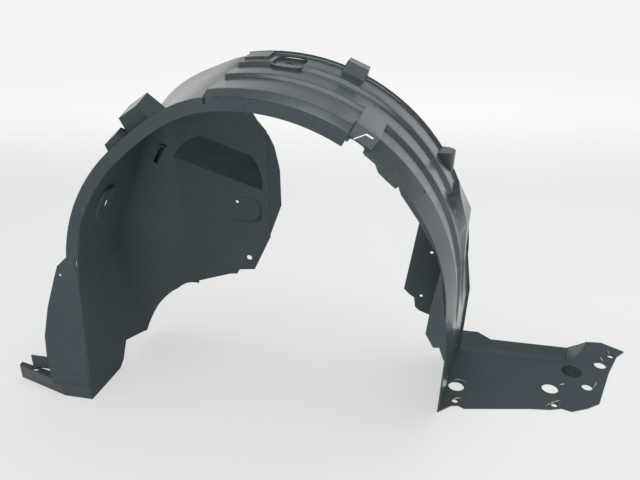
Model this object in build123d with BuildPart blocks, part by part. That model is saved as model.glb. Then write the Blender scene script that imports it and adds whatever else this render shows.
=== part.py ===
from build123d import *
import os
from math import atan2, cos, degrees, hypot, radians, sin, tan

# Front wheel arch liner: one moulded sheet of black polypropylene. +X is forward, +Y inboard and +Z up.
# It is drawn about the wheel's axis, which lies along Y above the floor, and moved to its own frame last.

# Sheet and arch
wall = 2.5
axle_height = 219.0
arch_radius = 320.0
fold_cut = 2.2
fold_share = 0.4
oval_power = 0.62
oval_sides = 16

# Front roof: flange, ledge and two risers, from the outer edge inboard
roof_depth = 237.0
roof_rear_angle = 98.0
ledge_front_angle = 60.0
flange_drop = 20.0
ledge_width = 24.0
ledge_rise = 7.0
first_riser_y = 100.0
first_riser = 6.0
second_riser_y = 166.0
second_riser = 6.0
riser_run = 4.0
far_flare = 2.0
far_lip = 4.5
front_edge_radius = 312.0
front_slope_width = 45.0

# Front leg, between the arch and the floor plate
leg_knee_height = 150.0
leg_knee_near_x = 318.0
leg_knee_far_x = 351.0
leg_knee_fade = 0.08
leg_foot_near_x = 316.0
leg_foot_near_y = 60.0
leg_foot_far_x = 347.0
leg_foot_far_y = 258.0
leg_foot_fade = 0.08

# Rear bowl: the roof turns down into an inner wall
inner_wall_y = 240.0
bowl_top_radius = 338.0
bowl_side_radius = 281.0
bowl_edge_radius = 287.0
bowl_top_round = 16.0
bowl_side_round = 95.0
bowl_lap_angle = 0.7
edge_ease_end = 128.0
top_ease_end = 112.0
side_ease_start = 120.0
side_ease_end = 162.0
round_ease_start = 110.0
bowl_foot_edge_x = 284.0
bowl_foot_side_x = 270.0
bowl_foot_round = 85.0

# Rear flange, turned outward; below its notch it leans outboard
rear_flange_width = 17.0
rear_flange_end = 172.0
flange_proud = 0.8
flange_steps = 20
flange_notch = (97.2, 98.2)
flange_notch_foot = 311.0
flange_notch_depth = 6.5
lean = 0.11
lean_height = 262.0
# The lower flange's edge and hole as (distance behind the bowl's edge, Z)
lower_flange_edge = [(16, 262), (32, 247), (41, 223), (59, 170), (72, 113), (73, 70), (68, 20)]
lower_flange_lap = 2.0
flange_hole = (29.0, 231.0)
flange_hole_diameter = 5.0

# Inner wall: a flat sheet with its edge behind the axle as (X, Z), and a strip bent inboard at its front
inner_lap = 8.0
bend_share = 0.98
inner_offset = 0.6
foot_trim_x = (-300.0, -170.0)
foot_trim = [(66, 0), (81, 10), (100, 41), (173, 18), (206, 61), (231, 88), (240, 107)]
inner_edge = [
    (-181, 106), (-110, 130), (-95, 132), (-89, 142), (-58, 146), (-24, 218), (-24, 424), (-41, 444),
    (-52, 462), (-50, 505),
]
strip_fold_x = -25.0
strip_angle = 30.0
strip = [(-2, 218), (23, 280), (22, 350), (13, 395), (3, 418), (-2, 423)]
inner_hole = (-68.0, 170.0)
clip_hole_diameter = 11.0
scoop_left = (-206.0, 366.0)
scoop_right = (-36.0, 312.0)
scoop_height = 74.0
scoop_depth = 40.0
scoop_bend_height = 42.0
scoop_bend_depth = 33.0
corner_pocket_angle = 147.0
corner_pocket_y = 227.0
corner_pocket_inset = 18.0429
corner_pocket_tilt = -50.0
corner_pocket_length = 46.0
corner_pocket_width = 9.0
corner_pocket_depth = 12.0
recess_center = (-72.0, 271.0)
recess_length = 62.0
recess_height = 46.0
recess_depth = 4.5
recess_slope = 8.0
recess_hole = (-88.0, 284.0)
recess_hole_diameter = 6.0

# Rear clip slot in its oval pad
rear_clip_angle = 155.0
rear_clip_y = 66.0
rear_clip_inset = 0.5111
rear_clip_length = 60.0
rear_clip_width = 46.0
clip_slot_length = 16.0
clip_slot_width = 10.0

# Sill bracket at the rear foot
sill_front = [(-441, 5), (-334, -27), (-283, -27)]
sill_back = [(-443, 15), (-361, -3)]
sill_height = 27.0
sill_slot = (-404.0, -1.0)
sill_slot_length = 11.0
sill_slot_width = 6.0
sill_tab_start = -414.0
sill_tab_end = -379.0
sill_tab_rise = 25.0
sill_tab_y = 9.0

# Floor plate ahead of the leg, as (X, Y)
plate_edge = [
    (337, 81), (349, 84), (359, 78), (467, 100), (504, 105), (524, 112), (540, 107), (568, 121),
    (590, 138), (623, 233), (648, 290), (665, 310), (627, 334), (597, 331), (573, 280), (559, 257),
    (550, 253), (409, 261),
]
plate_holes = [(345, 136, 28), (510, 163, 29), (576, 180, 19), (611, 254, 22)]
plate_clip_holes = [(343, 94), (512, 117), (636, 288)]
plate_flange_start = 346.0
plate_flange_end = 551.0
plate_flange_lean = 20.0
plate_flange_high = 37.0
plate_flange_low = 25.0
plate_flange_high_length = 36.0
plate_flange_ramp = 26.0

# Facet on the leg's near edge and flap on its far edge, as (X, Z)
leg_facet = [(299, 306), (289, 245), (284, 194), (297, 171), (306, 172), (314, 150), (317, 150), (311, 219)]
flap_y = 237.0
flap = [
    (262, 300), (254, 269), (235, 137), (245, 127), (255, 120), (258, 100), (266, 93), (285, 86), (346, 75),
]
flap_root = [(349, 148), (338, 240), (327, 312)]
flap_holes = [(281, 217), (268, 125)]
flap_hole_diameter = 6.0

# Raised bosses on the roof, hollow below
box_boss_angle = 67.0
box_boss_length = 42.0
box_boss_y = 230.0
box_boss_width = 36.0
box_boss_top = 359.0
nose_top = (287.0, 222.0, 415.0)
nose_tip = (299.0, 230.0, 375.0)
nose_radius = 20.0
nose_tip_radius = 6.0
nose_sides = 16
nose_trim_angles = (41.0, 21.0)
# The fin's sections as (angle, near foot, ridge, crest, far foot), the ridge and crest as (depth, radius)
fin_sections = [
    (24.0, 150.0, (160.0, 350.0), (230.0, 347.0), 238.2),
    (15.0, 101.0, (165.0, 347.0), (231.0, 354.0), 238.2),
    (7.5, 104.0, (112.0, 337.0), (128.0, 338.0), 136.0),
]
rear_box_angle = 123.5
rear_box_length = 49.0
rear_box_y = 80.0
rear_box_width = 62.0
rear_box_inset = -0.0373
rear_box_rise = 35.0
rear_box_tilt = 11.4
rear_lobe_angle = 131.0
rear_lobe_length = 42.0
rear_lobe_y = 46.0
rear_lobe_width = 44.0
rear_lobe_inset = -0.0806
rear_lobe_rise = 26.0
lobe_taper = 16.0
boss_taper = 8.0

# Raised pad near the front edge and the clip pad on top
near_pad_angles = (59.7, 53.0)
near_pad_start = 12.0
near_pad_end = 118.0
near_pad_top = 336.0
near_pad_slant = 3.0
near_pad_slit = [(58.2, 314), (56.3, 329), (54.3, 330)]
near_pad_slit_height = 3.6
top_clip_angle = 84.2
top_clip_y = 190.0
top_clip_length = 56.0
top_clip_width = 76.0
clip_sink = 4.0
clip_rim = 2.0
bar_angles = (97.4, 90.6)
bar_y = 192.0
bar_rise = 4.0

# Ragged front edge between the ledge's end and the leg, as (angle, radius)
front_lobe = [(53.8, 309), (50.2, 309), (48, 303), (45.4, 303), (41.9, 305)]
front_band = [(41.3, 309), (39.7, 306), (30.3, 306), (22, 309)]
edge_arch = [(59.5, 300), (59, 314), (56.6, 316), (54.6, 314), (54, 300)]
edge_arch_depth = 12.0
# Slit in the front slope as (angle, depth, length, turn)
slit = (36.0, 46.0, 32.0, 42.0)
slit_width = 3.0

top_edge = arch_radius + ledge_rise
axle = Axis((0, 0, axle_height), (0, 1, 0))


def radial_plane(angle):
    """Plane through the wheel axis at an angle above straight ahead: x runs inboard, y outward."""
    turn = radians(angle)
    return Plane(origin=(0, 0, axle_height), x_dir=(0, 1, 0), z_dir=(sin(turn), 0, -cos(turn)))


def level_plane(height, outward):
    """Level plane at a height: x runs inboard, y along X, forward for +1 and rearward for -1."""
    return Plane(origin=(0, 0, height), x_dir=(0, 1, 0), z_dir=(0, 0, -outward))


def upright_plane(y):
    """Upright plane along the car at a depth y, seen from outboard: its x is X and its y is Z."""
    return Plane(origin=(0, y, 0), x_dir=(1, 0, 0), z_dir=(0, -1, 0))


def roof_plane(angle, y, radius, tilt=0.0):
    """Plane on the roof at an angle: x runs inboard, y rearward; tilt turns its face outboard."""
    turn = radians(angle)
    lift = radians(tilt)
    spot = (radius * cos(turn), y, axle_height + radius * sin(turn))
    across = (sin(lift) * cos(turn), cos(lift), sin(lift) * sin(turn))
    outward = (cos(lift) * cos(turn), -sin(lift), cos(lift) * sin(turn))
    return Plane(origin=spot, x_dir=across, z_dir=outward)


def polar(angle, radius):
    """Point at an angle and a radius about the wheel axis, as (X, Z)."""
    return (radius * cos(radians(angle)), axle_height + radius * sin(radians(angle)))


def eased(points):
    """The line through the points with each of its folds cut across, as a small bend."""
    line = [points[0]]
    for before, corner, after in zip(points, points[1:], points[2:]):
        for end in (before, after):
            length = hypot(end[0] - corner[0], end[1] - corner[1])
            share = min(fold_cut / length, fold_share)
            line.append((between(corner[0], end[0], share), between(corner[1], end[1], share)))
    return line + [points[-1]]


def wheel_side(line):
    """The line moved to its wheel side by the wall, its folds mitred."""
    ways = []
    for (x0, y0), (x1, y1) in zip(line, line[1:]):
        length = hypot(x1 - x0, y1 - y0)
        ways.append(((y1 - y0) / length, (x0 - x1) / length))
    moved = []
    for (x, y), (u0, v0), (u1, v1) in zip(line, ways[:1] + ways, ways + ways[-1:]):
        mitre = wall / (1 + u0 * u1 + v0 * v1)
        moved.append((x + mitre * (u0 + u1), y + mitre * (v0 + v1)))
    return moved


def folded_section(plane, points):
    """Section of the folded sheet: its outer line through the points, with the wall on the wheel's side."""
    line = eased(points)
    return area(plane, line + wheel_side(line)[::-1])


def round_section(plane, points, rounding):
    """Section of the rounded sheet: an outer line with one large bend, the wall on the wheel's side.

    The bend is limited by the leg that runs down the inner wall.
    """
    (near_y, near_r), (corner_y, corner_r), (end_y, end_r) = points
    turn = radians(90) + atan2(corner_r - near_r, corner_y - near_y)
    bend = min(rounding, bend_share * (corner_r - end_r) / tan(turn / 2))
    with BuildSketch(plane) as section:
        with BuildLine():
            FilletPolyline(*points, radius=bend)
            offset(amount=wall, side=Side.RIGHT)
        make_face()
    return section.sketch


def area(plane, points):
    """Area inside a closed line through the points."""
    with BuildSketch(plane) as region:
        with BuildLine():
            Polyline(*points, close=True)
        make_face()
    return region.sketch


def facet(a, b, c):
    """Flat triangle between three points."""
    plane = Plane(origin=a, x_dir=b - a, z_dir=(b - a).cross(c - a))
    corners = [plane.to_local_coords(point) for point in (a, b, c)]
    return area(plane, [(corner.X, corner.Y) for corner in corners])


def box_area(plane, width, length):
    """Rectangle centred on a plane."""
    with BuildSketch(plane) as region:
        Rectangle(width, length)
    return region.sketch


def oval_area(plane, width, length):
    """Squarish oval centred on a plane, as a many-sided figure."""
    points = []
    for side in range(oval_sides):
        turn = radians(360.0 * (side + 0.5) / oval_sides)
        across = abs(cos(turn)) ** oval_power * (1 if cos(turn) > 0 else -1)
        along = abs(sin(turn)) ** oval_power * (1 if sin(turn) > 0 else -1)
        points.append((width / 2 * across, length / 2 * along))
    return area(plane, points)


def ease(value, start, end):
    """Smooth step from 0 at start to 1 at end."""
    t = min(max((value - start) / (end - start), 0.0), 1.0)
    return t * t * (3 - 2 * t)


def between(a, b, t):
    return a + (b - a) * t


# The roof's stepped line from its first riser to the far lip, as (depth, radius).
first_top = top_edge + first_riser
second_top = first_top + second_riser
far_top = second_top + far_flare
steps = [
    (first_riser_y, top_edge),
    (first_riser_y + riser_run, first_top),
    (second_riser_y, first_top),
    (second_riser_y + riser_run, second_top),
    (roof_depth, far_top),
    (roof_depth, far_top + far_lip),
]
ledge_line = [(0, arch_radius - flange_drop), (0, arch_radius), (ledge_width, top_edge)] + steps
slope_line = [(0, front_edge_radius), (front_slope_width, top_edge)] + steps


def leg_line(near_y, near_x, far_y, far_x, fade):
    """The front section carried down the leg: a line from near to far, with the steps faded on it."""
    line = []
    for depth, radius in slope_line[:-1]:
        t = depth / roof_depth
        step = radius - between(front_edge_radius, far_top, t)
        line.append((between(near_y, far_y, t), between(near_x, far_x, t) + fade * step))
    return line + [(far_y, far_x + far_lip)]


def roof_radius(depth):
    """Radius of the front roof's outer face at a depth."""
    for (y0, r0), (y1, r1) in zip(slope_line, slope_line[1:-1]):
        if depth <= y1:
            return between(r0, r1, (depth - y0) / (y1 - y0))
    return far_top


def bowl_line(near_y, near_r, corner_r, corner_round):
    """Section of the rear bowl from its near edge, round the corner to a short lap on the inner wall."""
    lap_end = corner_r - corner_round - inner_lap
    return [(near_y, near_r), (inner_wall_y, corner_r), (inner_wall_y, lap_end)], corner_round


def bowl_sizes(angle):
    """Near radius, corner radius and corner rounding of the bowl at an angle."""
    near = between(arch_radius, bowl_edge_radius, ease(angle, roof_rear_angle, edge_ease_end))
    top = between(far_top, bowl_top_radius, ease(angle, roof_rear_angle, top_ease_end))
    corner = between(top, bowl_side_radius, ease(angle, side_ease_start, side_ease_end))
    return near, corner, between(bowl_top_round, bowl_side_round, ease(angle, round_ease_start, 180.0))


def lean_y(height):
    """Depth of the rear flange's face at a height: it leans outboard below its notch."""
    return -lean * max(lean_height - height, 0.0)


def bowl_radius(angle, depth):
    """Radius of the bowl's outer line at an angle and a depth, short of its bend."""
    near, corner, rounding = bowl_sizes(angle)
    return between(near, corner, depth / inner_wall_y)


def bowl_section(angle):
    near, corner, rounding = bowl_sizes(angle)
    near_y = lean_y(axle_height + near * sin(radians(angle))) + wall / 2
    return round_section(radial_plane(angle), *bowl_line(near_y, near, corner, rounding))


def rear_flange(angle):
    """Outer and inner radius of the rear flange at an angle."""
    t = ease(angle, roof_rear_angle, edge_ease_end)
    outer = between(arch_radius + flange_proud, bowl_edge_radius + rear_flange_width, t)
    return outer, between(arch_radius - flange_drop, bowl_edge_radius - wall / 2, t)


def lap_radius(angle):
    """Middle of the bowl's lap on the inner wall at an angle."""
    near, corner, rounding = bowl_sizes(angle)
    return corner - rounding - inner_lap / 2


bowl_angles = [roof_rear_angle - bowl_lap_angle, 105.0, 113.0, 121.0, 130.0, 140.0, 150.0, 165.0, 180.0]


def bowl_foot_section():
    line = bowl_line(lean_y(0.0) + wall / 2, bowl_foot_edge_x, bowl_foot_side_x, bowl_foot_round)
    return round_section(level_plane(0.0, -1), *line)


def scoop_form(grow):
    """The scoop's wedge: the area under an arc, which deepens from its chord towards the arc."""
    left = Vector(*scoop_left)
    right = Vector(*scoop_right)
    along = (right - left).normalized()
    up = Vector(-along.Y, along.X)
    middle = (left + right) / 2
    start = left - (along + up) * grow
    end = right + (along - up) * grow
    sheet_face = inner_wall_y + inner_offset - wall
    mouth = wall / 2 if grow > 0 else -3 * wall
    with BuildPart() as form:
        with BuildSketch(upright_plane(sheet_face + mouth)):
            with BuildLine():
                ThreePointArc(start, middle + up * (scoop_height + grow), end)
                Line(end, start)
            make_face()
        extrude(amount=-(scoop_depth + grow - mouth))
        cross = Plane(
            origin=(middle.X, sheet_face, middle.Y), x_dir=(up.X, 0, up.Y), z_dir=(along.X, 0, along.Y)
        )
        slope = scoop_bend_depth / scoop_bend_height
        low = -2 * wall
        high = scoop_height + 2 * wall
        lift = grow * hypot(1.0, slope)
        wedge = [(low, 4 * wall), (high, 4 * wall), (high, -scoop_depth - lift)]
        wedge += [(scoop_bend_height, -scoop_bend_depth - lift), (low, -slope * low - lift)]
        extrude(area(cross, wedge).faces(), amount=(right - left).length, both=True, mode=Mode.INTERSECT)
    return form.part


scoop_outside = scoop_form(wall)
scoop_inside = scoop_form(0.0)

with BuildPart() as liner:
    # Front roof, in two lengths: with the ledge and flange, and ahead of them with a plain slope.
    ledge_face = folded_section(radial_plane(roof_rear_angle), ledge_line)
    revolve(ledge_face.faces(), axis=axle, revolution_arc=roof_rear_angle - ledge_front_angle)
    slope_face = folded_section(radial_plane(ledge_front_angle), slope_line)
    revolve(slope_face.faces(), axis=axle, revolution_arc=ledge_front_angle)

    # Front leg
    knee_line = leg_line(0, leg_knee_near_x, roof_depth, leg_knee_far_x, leg_knee_fade)
    foot_line = leg_line(leg_foot_near_y, leg_foot_near_x, leg_foot_far_y, leg_foot_far_x, leg_foot_fade)
    leg_sections = [
        folded_section(radial_plane(0), slope_line),
        folded_section(level_plane(leg_knee_height, 1), knee_line),
        folded_section(level_plane(0, 1), foot_line),
    ]
    loft(leg_sections, ruled=True)

    # Rear bowl, started a little way into the roof, and its foot
    loft([bowl_section(angle) for angle in bowl_angles])
    loft([bowl_section(bowl_angles[-1]), bowl_foot_section()], ruled=True)

    # Webs that close the roof's ledge against the bowl, and against the plain slope
    half = wall / 2
    rear_web = [(wall, arch_radius - half), (ledge_width, top_edge - half), (first_riser_y, top_edge - half)]
    extrude(area(radial_plane(roof_rear_angle), rear_web).faces(), amount=half, both=True)
    flange_foot = arch_radius - flange_drop
    ledge_web = [(half, flange_foot), (half, arch_radius - half), (ledge_width, top_edge - half)]
    ledge_web += [(front_slope_width, top_edge - half), (wall + half, front_edge_radius)]
    ledge_web += [(wall + half, flange_foot)]
    extrude(area(radial_plane(ledge_front_angle), ledge_web).faces(), amount=half, both=True)

    # Rear flange: a band over the arch, then the wider leaning part below the notch
    first_angle = roof_rear_angle - bowl_lap_angle
    flange_step = (rear_flange_end - first_angle) / flange_steps
    flange_angles = [first_angle + flange_step * step for step in range(flange_steps + 1)]
    band = [polar(angle, rear_flange(angle)[0]) for angle in flange_angles]
    band += [polar(angle, rear_flange(angle)[1]) for angle in reversed(flange_angles)]
    extrude(area(upright_plane(wall), band).faces(), amount=wall)
    lean_plane = Plane(origin=(0, wall, lean_height), x_dir=(1, 0, 0), z_dir=(0, -1, lean))
    lower = [(-bowl_edge_radius - x, z - lean_height) for x, z in lower_flange_edge]
    lower_root = lower_flange_lap - bowl_edge_radius
    lower += [(lower_root, lower[-1][1]), (lower_root, 0)]
    extrude(area(lean_plane, lower).faces(), amount=wall)

    # Sill bracket: front wall, ledge and upright tab
    foot = level_plane(0, 1)
    back = [(x, y + wall) for x, y in reversed(sill_front)]
    front_wall = [(y, x) for x, y in sill_front + back]
    extrude(area(foot, front_wall).faces(), amount=sill_height, dir=(0, 0, 1))
    ledge = [(y, x) for x, y in sill_front[:2] + list(reversed(sill_back))]
    sill_top = level_plane(sill_height - wall, 1)
    extrude(area(sill_top, ledge).faces(), amount=wall, dir=(0, 0, 1))

    # Floor plate with its far flange
    plate_root = [(leg_foot_far_x - half, leg_foot_far_y), (leg_foot_near_x - half, leg_foot_near_y)]
    plate = [(y, x) for x, y in plate_edge + plate_root]
    extrude(area(foot, plate).faces(), amount=wall, dir=(0, 0, 1))
    flange_run = plate_flange_end - plate_flange_start
    tilt = radians(plate_flange_lean)
    fold = plate_edge[-1][1]
    flange_plane = Plane(
        origin=(plate_flange_start, fold, 0), x_dir=(1, 0, 0), z_dir=(0, -cos(tilt), sin(tilt))
    )
    ramp_end = plate_flange_high_length + plate_flange_ramp
    flange_edge = [(0, half), (0, plate_flange_high), (plate_flange_high_length, plate_flange_high)]
    flange_edge += [(ramp_end, plate_flange_low), (flange_run, plate_flange_low), (flange_run, half)]
    extrude(area(flange_plane, flange_edge).faces(), amount=wall)

    # Flange's end, which runs out along the valley beside the plate's ear
    flange_tip = flange_plane.from_local_coords(Vector(flange_run - half, plate_flange_low, 0))
    heel, bay, ear = [Vector(x, y, half) for x, y in (plate_edge[-2], plate_edge[-4], plate_edge[-5])]
    for corners in ((heel, bay, flange_tip), (bay, ear, flange_tip)):
        extrude(facet(*corners).faces(), amount=half, both=True)

    # Facet on the leg's near edge, flap on its far edge
    extrude(area(upright_plane(wall), leg_facet).faces(), amount=wall)
    extrude(area(upright_plane(flap_y), flap + flap_root).faces(), amount=wall)

    # Ragged front edge: two thin aprons hung from the slope's near edge
    for apron in (front_lobe, front_band):
        rim = [polar(angle, radius) for angle, radius in apron]
        root = [polar(angle, front_edge_radius - half) for angle, radius in reversed(apron)]
        extrude(area(upright_plane(wall), rim + root).faces(), amount=wall)

    # Inner wall: a flat sheet lapped on the bowl, whose foot is trimmed in line with its lower edge
    trim_plane = Plane(origin=(foot_trim_x[0], 0, 0), x_dir=(0, 1, 0), z_dir=(1, 0, 0))
    trim_end = foot_trim[-1][1]
    trim_far = inner_wall_y + wall
    trim = foot_trim + [(trim_far, trim_end), (trim_far, -wall), (foot_trim[0][0], -wall)]
    trim_run = foot_trim_x[1] - foot_trim_x[0]
    extrude(area(trim_plane, trim).faces(), amount=trim_run, mode=Mode.SUBTRACT)
    lap_angles = [roof_rear_angle + 4.0 * step for step in range(1, 21)]
    inner_wall = [polar(angle, lap_radius(angle)) for angle in lap_angles] + inner_edge
    wall_plane = upright_plane(inner_wall_y + inner_offset)
    extrude(area(wall_plane, inner_wall).faces(), amount=wall)
    arch = area(upright_plane(0), [polar(angle, radius) for angle, radius in edge_arch])
    extrude(arch.faces(), amount=-edge_arch_depth, mode=Mode.SUBTRACT)

    # Strip bent inboard along the inner wall's front edge
    turn = radians(strip_angle)
    strip_plane = Plane(
        origin=(strip_fold_x, inner_wall_y + 3 * inner_offset, 0),
        x_dir=(cos(turn), sin(turn), 0),
        z_dir=(sin(turn), -cos(turn), 0),
    )
    extrude(area(strip_plane, strip).faces(), amount=wall)

    # Scoop pressed inboard from the inner wall, and a narrow pocket in the bowl's corner
    add(scoop_outside)
    add(scoop_inside, mode=Mode.SUBTRACT)
    pocket_radius = bowl_radius(corner_pocket_angle, corner_pocket_y) - corner_pocket_inset
    pocket = roof_plane(corner_pocket_angle, corner_pocket_y, pocket_radius, corner_pocket_tilt)
    back_width = corner_pocket_width + 2 * wall
    back_length = corner_pocket_length + 2 * wall
    pocket_back = box_area(pocket.offset(-2 * wall), back_width, back_length)
    extrude(pocket_back.faces(), amount=corner_pocket_depth + 2 * wall)
    pocket_mouth = box_area(pocket.offset(-4 * wall), corner_pocket_width, corner_pocket_length)
    extrude(pocket_mouth.faces(), amount=corner_pocket_depth + 3 * wall, mode=Mode.SUBTRACT)

    # Shallow clip recess pressed inboard below the scoop
    recess_x, recess_z = recess_center
    steep = recess_slope / recess_depth
    for grow, start, end, mode in (
        (wall, -half, recess_depth, Mode.ADD),
        (0.0, -2 * wall, recess_depth - wall, Mode.SUBTRACT),
    ):
        recess = []
        for deep in (start, end):
            spot = Plane(origin=(recess_x, inner_wall_y + deep, recess_z), x_dir=(1, 0, 0), z_dir=(0, -1, 0))
            spread = 2 * (grow - steep * deep)
            recess.append(oval_area(spot, recess_length + spread, recess_height + spread))
        loft(recess, ruled=True, mode=mode)

    # Bosses on the roof: tapered boxes, open below
    box_plane = roof_plane(box_boss_angle, box_boss_y, second_top)
    rear_foot = bowl_radius(rear_box_angle, rear_box_y) - rear_box_inset
    rear_plane = roof_plane(rear_box_angle, rear_box_y, rear_foot, rear_box_tilt)
    lobe_foot = bowl_radius(rear_lobe_angle, rear_lobe_y) - rear_lobe_inset
    lobe_plane = roof_plane(rear_lobe_angle, rear_lobe_y, lobe_foot, rear_box_tilt)
    bosses = (
        (box_plane, box_boss_width, box_boss_length, box_boss_top - second_top, boss_taper),
        (rear_plane, rear_box_width, rear_box_length, rear_box_rise, boss_taper),
        (lobe_plane, rear_lobe_width, rear_lobe_length, rear_lobe_rise, lobe_taper),
    )
    for foot_plane, width, length, rise, taper in bosses:
        outside = box_area(foot_plane.offset(-wall), width, length)
        extrude(outside.faces(), amount=rise + wall, taper=taper)
    for foot_plane, width, length, rise, taper in bosses:
        below = foot_plane.offset(-4 * wall)
        inside = box_area(below, width - 2 * wall, length - 2 * wall)
        extrude(inside.faces(), amount=rise + 3 * wall, taper=taper, mode=Mode.SUBTRACT)

    # Raised pad across the slope and the first riser, open below
    pad_foot = between(front_edge_radius, top_edge, near_pad_start / front_slope_width)
    for grow, drop, mode in ((0.0, half, Mode.ADD), (wall, 3 * wall, Mode.SUBTRACT)):
        inset = degrees(grow / top_edge)
        pad = [(near_pad_start + grow, pad_foot - drop), (front_slope_width, top_edge - drop)]
        pad += [(first_riser_y, top_edge - drop), (first_riser_y + riser_run, first_top - drop)]
        pad += [(near_pad_end - grow, first_top - drop)]
        pad += [(near_pad_end - grow - near_pad_slant, near_pad_top - grow)]
        pad += [(near_pad_start + grow + near_pad_slant, near_pad_top - grow)]
        pad_face = area(radial_plane(near_pad_angles[0] - inset), pad)
        pad_span = near_pad_angles[0] - near_pad_angles[1] - 2 * inset
        revolve(pad_face.faces(), axis=axle, revolution_arc=pad_span, mode=mode)

    # Slit in the raised pad's outer face
    lift = near_pad_slit_height / 2
    slit_edge = [polar(angle, radius - lift) for angle, radius in near_pad_slit]
    slit_edge += [polar(angle, radius + lift) for angle, radius in reversed(near_pad_slit)]
    pad_slit = area(upright_plane(near_pad_start - wall), slit_edge)
    extrude(pad_slit.faces(), amount=-6 * wall, mode=Mode.SUBTRACT)

    # Sunk clip pads on the roof and in the bowl, each with a slot
    top_spot = roof_plane(top_clip_angle, top_clip_y, second_top)
    rear_radius = bowl_radius(rear_clip_angle, rear_clip_y) - rear_clip_inset
    rear_spot = roof_plane(rear_clip_angle, rear_clip_y, rear_radius)
    clips = ((top_spot, top_clip_width, top_clip_length), (rear_spot, rear_clip_width, rear_clip_length))
    for spot, width, length in clips:
        dish = oval_area(spot.offset(-clip_sink - wall), width, length)
        extrude(dish.faces(), amount=wall + clip_rim)
    for spot, width, length in clips:
        inside = oval_area(spot.offset(-clip_sink), width - 2 * wall, length - 2 * wall)
        extrude(inside.faces(), amount=4 * wall, mode=Mode.SUBTRACT)
        slot = oval_area(spot, clip_slot_width, clip_slot_length)
        extrude(slot.faces(), amount=4 * wall, both=True, mode=Mode.SUBTRACT)

    # Short bar on the roof behind the clip pad, notch in the flange, slit in the front slope
    bar = [(bar_y, second_top - half), (bar_y + riser_run, second_top + bar_rise)]
    bar += [(roof_depth - half, far_top + bar_rise), (roof_depth - half, far_top - half)]
    bar_face = area(radial_plane(bar_angles[0]), bar)
    revolve(bar_face.faces(), axis=axle, revolution_arc=bar_angles[0] - bar_angles[1])
    notch_top = top_edge + wall
    notch = [polar(angle, flange_notch_foot) for angle in flange_notch]
    notch += [polar(angle, notch_top) for angle in reversed(flange_notch)]
    notch_cut = area(upright_plane(-wall), notch)
    extrude(notch_cut.faces(), amount=-flange_notch_depth - wall, mode=Mode.SUBTRACT)
    slit_angle, slit_y, slit_length, slit_turn = slit
    slit_spot = roof_plane(slit_angle, slit_y, front_edge_radius).rotated((0, 0, slit_turn))
    slit_cut = box_area(slit_spot, slit_length, slit_width)
    extrude(slit_cut.faces(), amount=4 * wall, both=True, mode=Mode.SUBTRACT)

    # Sill bracket's upright tab and slot
    tab_front = [(sill_tab_start, sill_height - half), (sill_tab_end, sill_height - half)]
    tab_top = [(x, z + sill_tab_rise) for x, z in reversed(tab_front)]
    extrude(area(upright_plane(sill_tab_y), tab_front + tab_top).faces(), amount=wall)
    sill_cut = oval_area(Plane(origin=(*sill_slot, sill_height)), sill_slot_length, sill_slot_width)
    extrude(sill_cut.faces(), amount=2 * wall, both=True, mode=Mode.SUBTRACT)

    # Holes in the plate, the flap, the inner wall and the flange
    with BuildSketch(Plane.XY) as holes:
        for x, y, diameter in plate_holes:
            with Locations((x, y)):
                Circle(diameter / 2)
        for x, y in plate_clip_holes:
            with Locations((x, y)):
                Circle(clip_hole_diameter / 2)
    extrude(amount=2 * wall, both=True, mode=Mode.SUBTRACT)
    with BuildSketch(upright_plane(flap_y)) as flap_cut:
        with Locations(*flap_holes):
            Circle(flap_hole_diameter / 2)
    extrude(amount=2 * wall, both=True, mode=Mode.SUBTRACT)
    with BuildSketch(upright_plane(inner_wall_y)) as wall_cut:
        with Locations(inner_hole):
            Circle(clip_hole_diameter / 2)
        with Locations(recess_hole):
            Circle(recess_hole_diameter / 2)
    extrude(amount=recess_depth + 2 * wall, both=True, mode=Mode.SUBTRACT)
    with BuildSketch(lean_plane) as flange_cut:
        with Locations((-bowl_edge_radius - flange_hole[0], flange_hole[1] - lean_height)):
            Circle(flange_hole_diameter / 2)
    extrude(amount=2 * wall, both=True, mode=Mode.SUBTRACT)

    # Nose: a cone with a level top that tapers down into the far edge, open below
    for grow, mode in ((0.0, Mode.ADD), (wall, Mode.SUBTRACT)):
        nose = []
        for (x, y, z), radius in ((nose_top, nose_radius), (nose_tip, nose_tip_radius)):
            level = z - grow if radius == nose_radius else z
            with BuildSketch(Plane.XY.offset(level)) as disc:
                with Locations((x, y)):
                    RegularPolygon(radius - grow, nose_sides)
            nose.append(disc.sketch)
        loft(nose, ruled=True, mode=mode)
    nose_near = nose_top[1] - nose_radius - wall
    nose_far = nose_top[1] + nose_radius + wall
    roof_inside = roof_radius(nose_near) - 2 * wall
    trim_foot = roof_inside - 2 * nose_radius
    below = [(nose_near, trim_foot), (nose_far, trim_foot)]
    below += [(nose_far, roof_inside), (nose_near, roof_inside)]
    below_face = area(radial_plane(nose_trim_angles[0]), below)
    trim_arc = nose_trim_angles[0] - nose_trim_angles[1]
    revolve(below_face.faces(), axis=axle, revolution_arc=trim_arc, mode=Mode.SUBTRACT)

    # Fin: a hood with a sloping outer face, widest below its upper end, open below
    for grow, drop, mode in ((0.0, half, Mode.ADD), (wall, 4 * wall, Mode.SUBTRACT)):
        inset = degrees(grow / far_top)
        fin = []
        for angle, near_foot, ridge, crest, far_foot in fin_sections:
            if angle == fin_sections[0][0]:
                angle -= inset
            if angle == fin_sections[-1][0]:
                angle += inset
            near_root = roof_radius(near_foot) - drop
            far_root = roof_radius(far_foot) - drop
            quad = [(near_foot + 2 * grow, near_root), (ridge[0] + grow, ridge[1] - grow)]
            quad += [(crest[0] - grow, crest[1] - grow), (far_foot - 2 * grow, far_root)]
            fin.append(area(radial_plane(angle), quad))
        loft(fin, ruled=True, mode=mode)

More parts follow.
